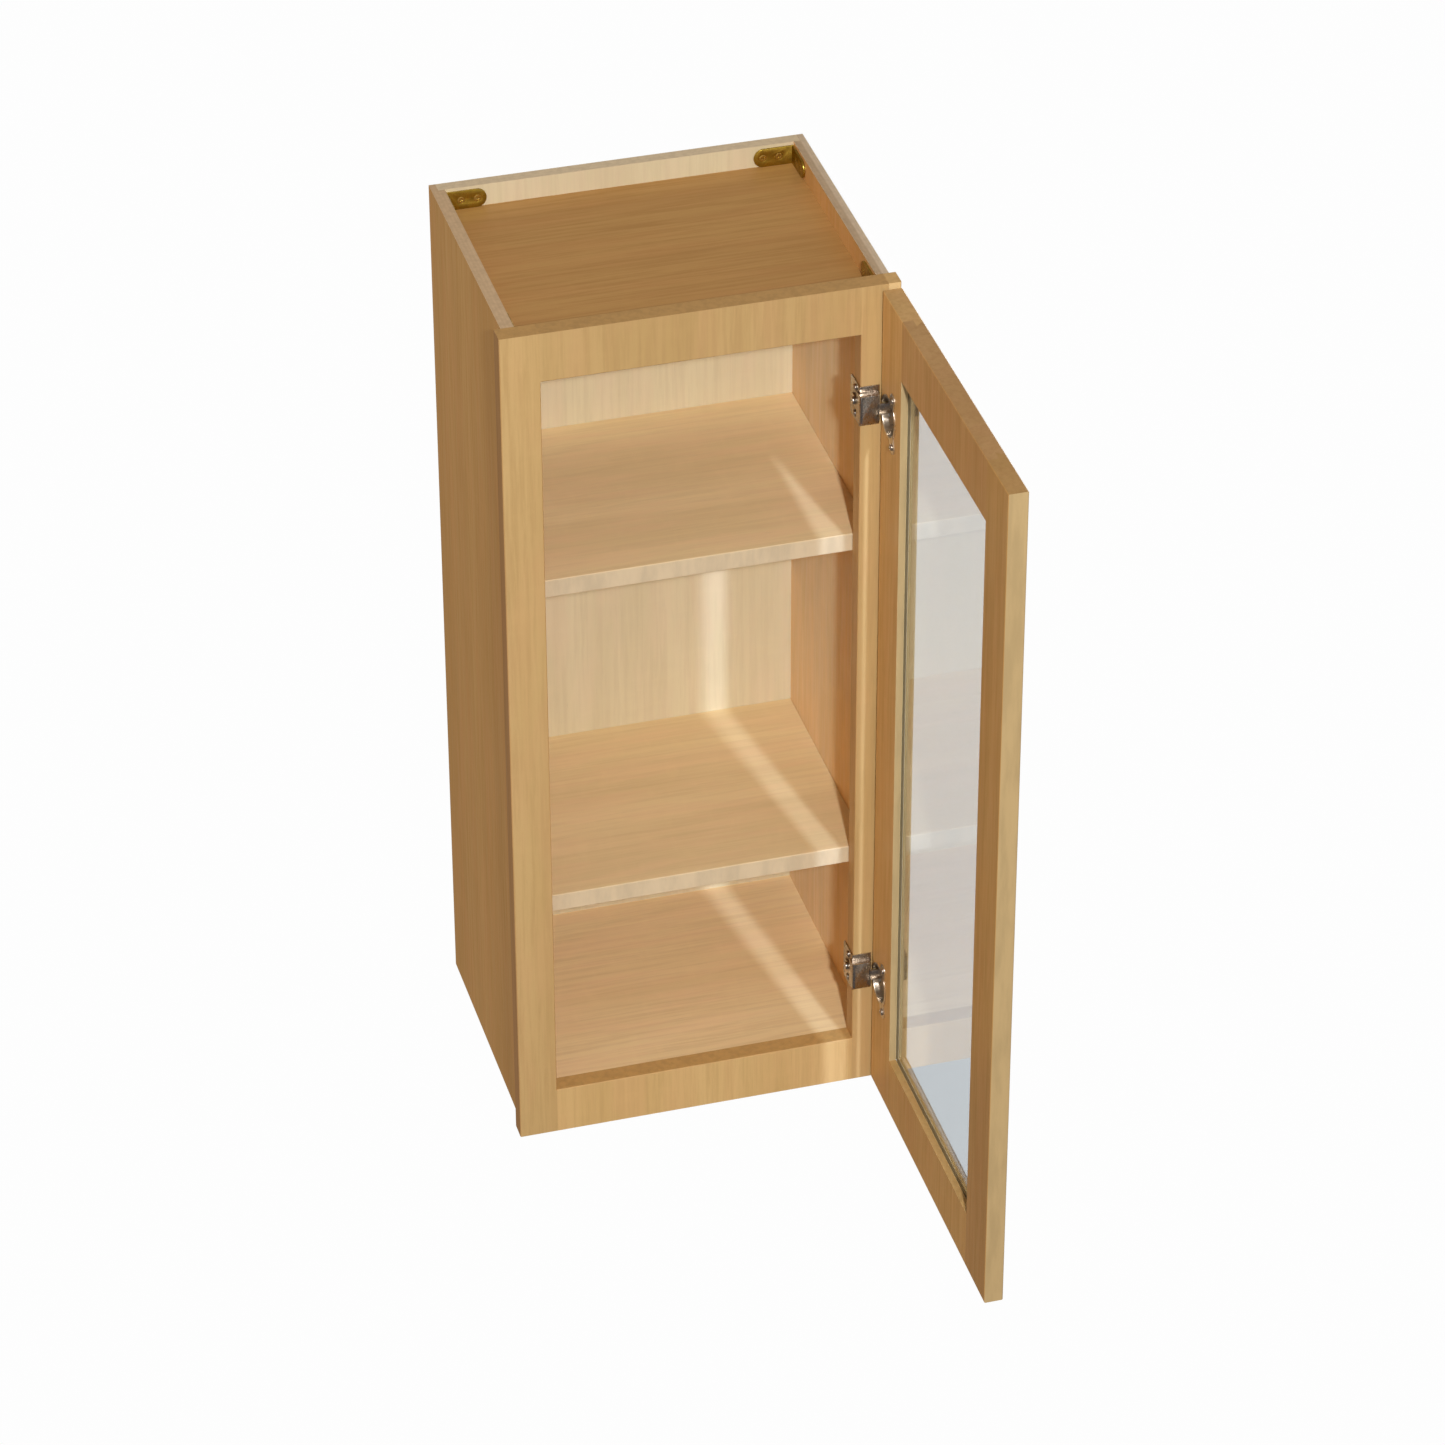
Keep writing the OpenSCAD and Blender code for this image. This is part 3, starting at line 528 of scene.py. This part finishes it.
fill_size = 2.4
fills = []
for name, power, tint, place, turn in (
    ("side_fill", 9.0, (1.0, 0.87, 0.74), (-3.6, -2.6, 1.3), (80.0, 0.0, -55.0)),
    ("rear_fill", 95.0, (1.0, 0.94, 0.86), (3.0, 3.2, 0.55), (90.0, 0.0, 137.0)),
):
    fill = lamp(name, "AREA", power, tint, place)
    fill.data.size = fill_size
    fill.rotation_euler = Euler([math.radians(angle) for angle in turn])
    fills.append(fill)

key_place = Vector((-0.56, -4.65, 3.50))
key_radius = 0.10
key = lamp("key", "POINT", 735.0, (1.0, 1.0, 1.0), key_place)
key.data.shadow_soft_size = key_radius

# The inside of the right side is given its tone beside the stile's shadow by a bluish lamp
# at the key's place. Only that side receives it.
rake = lamp("rake", "POINT", 2000.0, (0.50, 1.0, 1.85), key_place)
rake.data.shadow_soft_size = key_radius
rake.light_linking.receiver_collection = group(
    "reached_by_rake", [frame["nodes"]["right_side_panel"]])

# The key's mirror image in the open door's pane stands in for the light that the pane
# throws into the cabinet. A card with two openings gives that light its edges, and a lid
# keeps the rake lamp off the top of the right side. Nothing but those lamps meets either.
pane_low, pane_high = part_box("door_glass")
z0, z1, slit_top = pane_low.z, pane_high.z + 0.035, pane_high.z - 0.03
wide_far, wide_near, slit_far, slit_near = -0.645, -0.506, -0.437, -0.415
far_y, near_y, low, high = -2.6, 0.05, -1.2, 3.3
corners = np.array([
    (y, z) for a, b, c, d in (
        (far_y, wide_far, low, high), (wide_near, slit_far, low, high),
        (slit_near, near_y, low, high),
        (wide_far, wide_near, low, z0), (wide_far, wide_near, z1, high),
        (slit_far, slit_near, low, z0), (slit_far, slit_near, slit_top, high))
    for y, z in ((a, c), (b, c), (b, d), (a, d))])
card_mesh = bpy.data.meshes.new("bounce_card")
card_mesh.from_pydata(
    np.column_stack((np.full(len(corners), pane_low.x), corners)).tolist(), [],
    np.arange(len(corners)).reshape(-1, 4).tolist())
card = bpy.data.objects.new("bounce_card", card_mesh)
lid_half, lid_y, lid_low, lid_high = 0.4, -0.32, 0.876, 1.6
lid_mesh = bpy.data.meshes.new("rake_card")
lid_mesh.from_pydata(
    [(x, lid_y, z) for x, z in (
        (-lid_half, lid_low), (lid_half, lid_low), (lid_half, lid_high), (-lid_half, lid_high))],
    [], [(0, 1, 2, 3)])
lid = bpy.data.objects.new("rake_card", lid_mesh)
for shade in (card, lid):
    scene.collection.objects.link(shade)
    shade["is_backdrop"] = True
    shade.visible_camera = shade.visible_diffuse = shade.visible_glossy = False
    shade.visible_transmission = shade.visible_volume_scatter = False
mirrored_x = 0.807
bounce = lamp("bounce", "POINT", 560.0, (0.78, 0.96, 1.22),
              Vector((mirrored_x, key_place.y, key_place.z)))
bounce.data.shadow_soft_size = 0.06
bounce.light_linking.receiver_collection = group(
    "reached_by_bounce", [frame["nodes"][part] for part in (
        "right_side_panel", "back_panel", "bottom_panel", "upper_shelf", "lower_shelf",
        "frame_right_stile", "frame_bottom_rail")])

every_piece = list(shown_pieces())
on_cabinet = [piece for piece in every_piece if body_of(piece) == ["cabinet"]]
bounce.light_linking.blocker_collection = group("in_the_way_of_bounce", on_cabinet + [card])
in_key = group("in_the_way_of_key", every_piece)
for straight_lamp in [key] + fills:
    straight_lamp.light_linking.blocker_collection = in_key
rake.light_linking.blocker_collection = group("in_the_way_of_rake", every_piece + [lid])

# ---------- camera ----------
# A long lens in front of the cabinet and to its left, looking down on it.

camera = bpy.data.objects.new("camera", bpy.data.cameras.new("camera"))
camera.data.sensor_width = 36.0
camera.data.lens = 142.83654
camera.data.clip_start, camera.data.clip_end = 0.1, 200.0
heading, dip, roll = -0.27540, 0.59630, -0.00255
turn = (Matrix.Rotation(heading, 4, "Z") @ Matrix.Rotation(math.pi / 2 - dip, 4, "X")
        @ Matrix.Rotation(roll, 4, "Z"))
camera.matrix_world = Matrix.Translation((-1.21385, -4.65981, 3.53398)) @ turn
scene.collection.objects.link(camera)
scene.camera = camera
scene.view_settings.view_transform = "Standard"
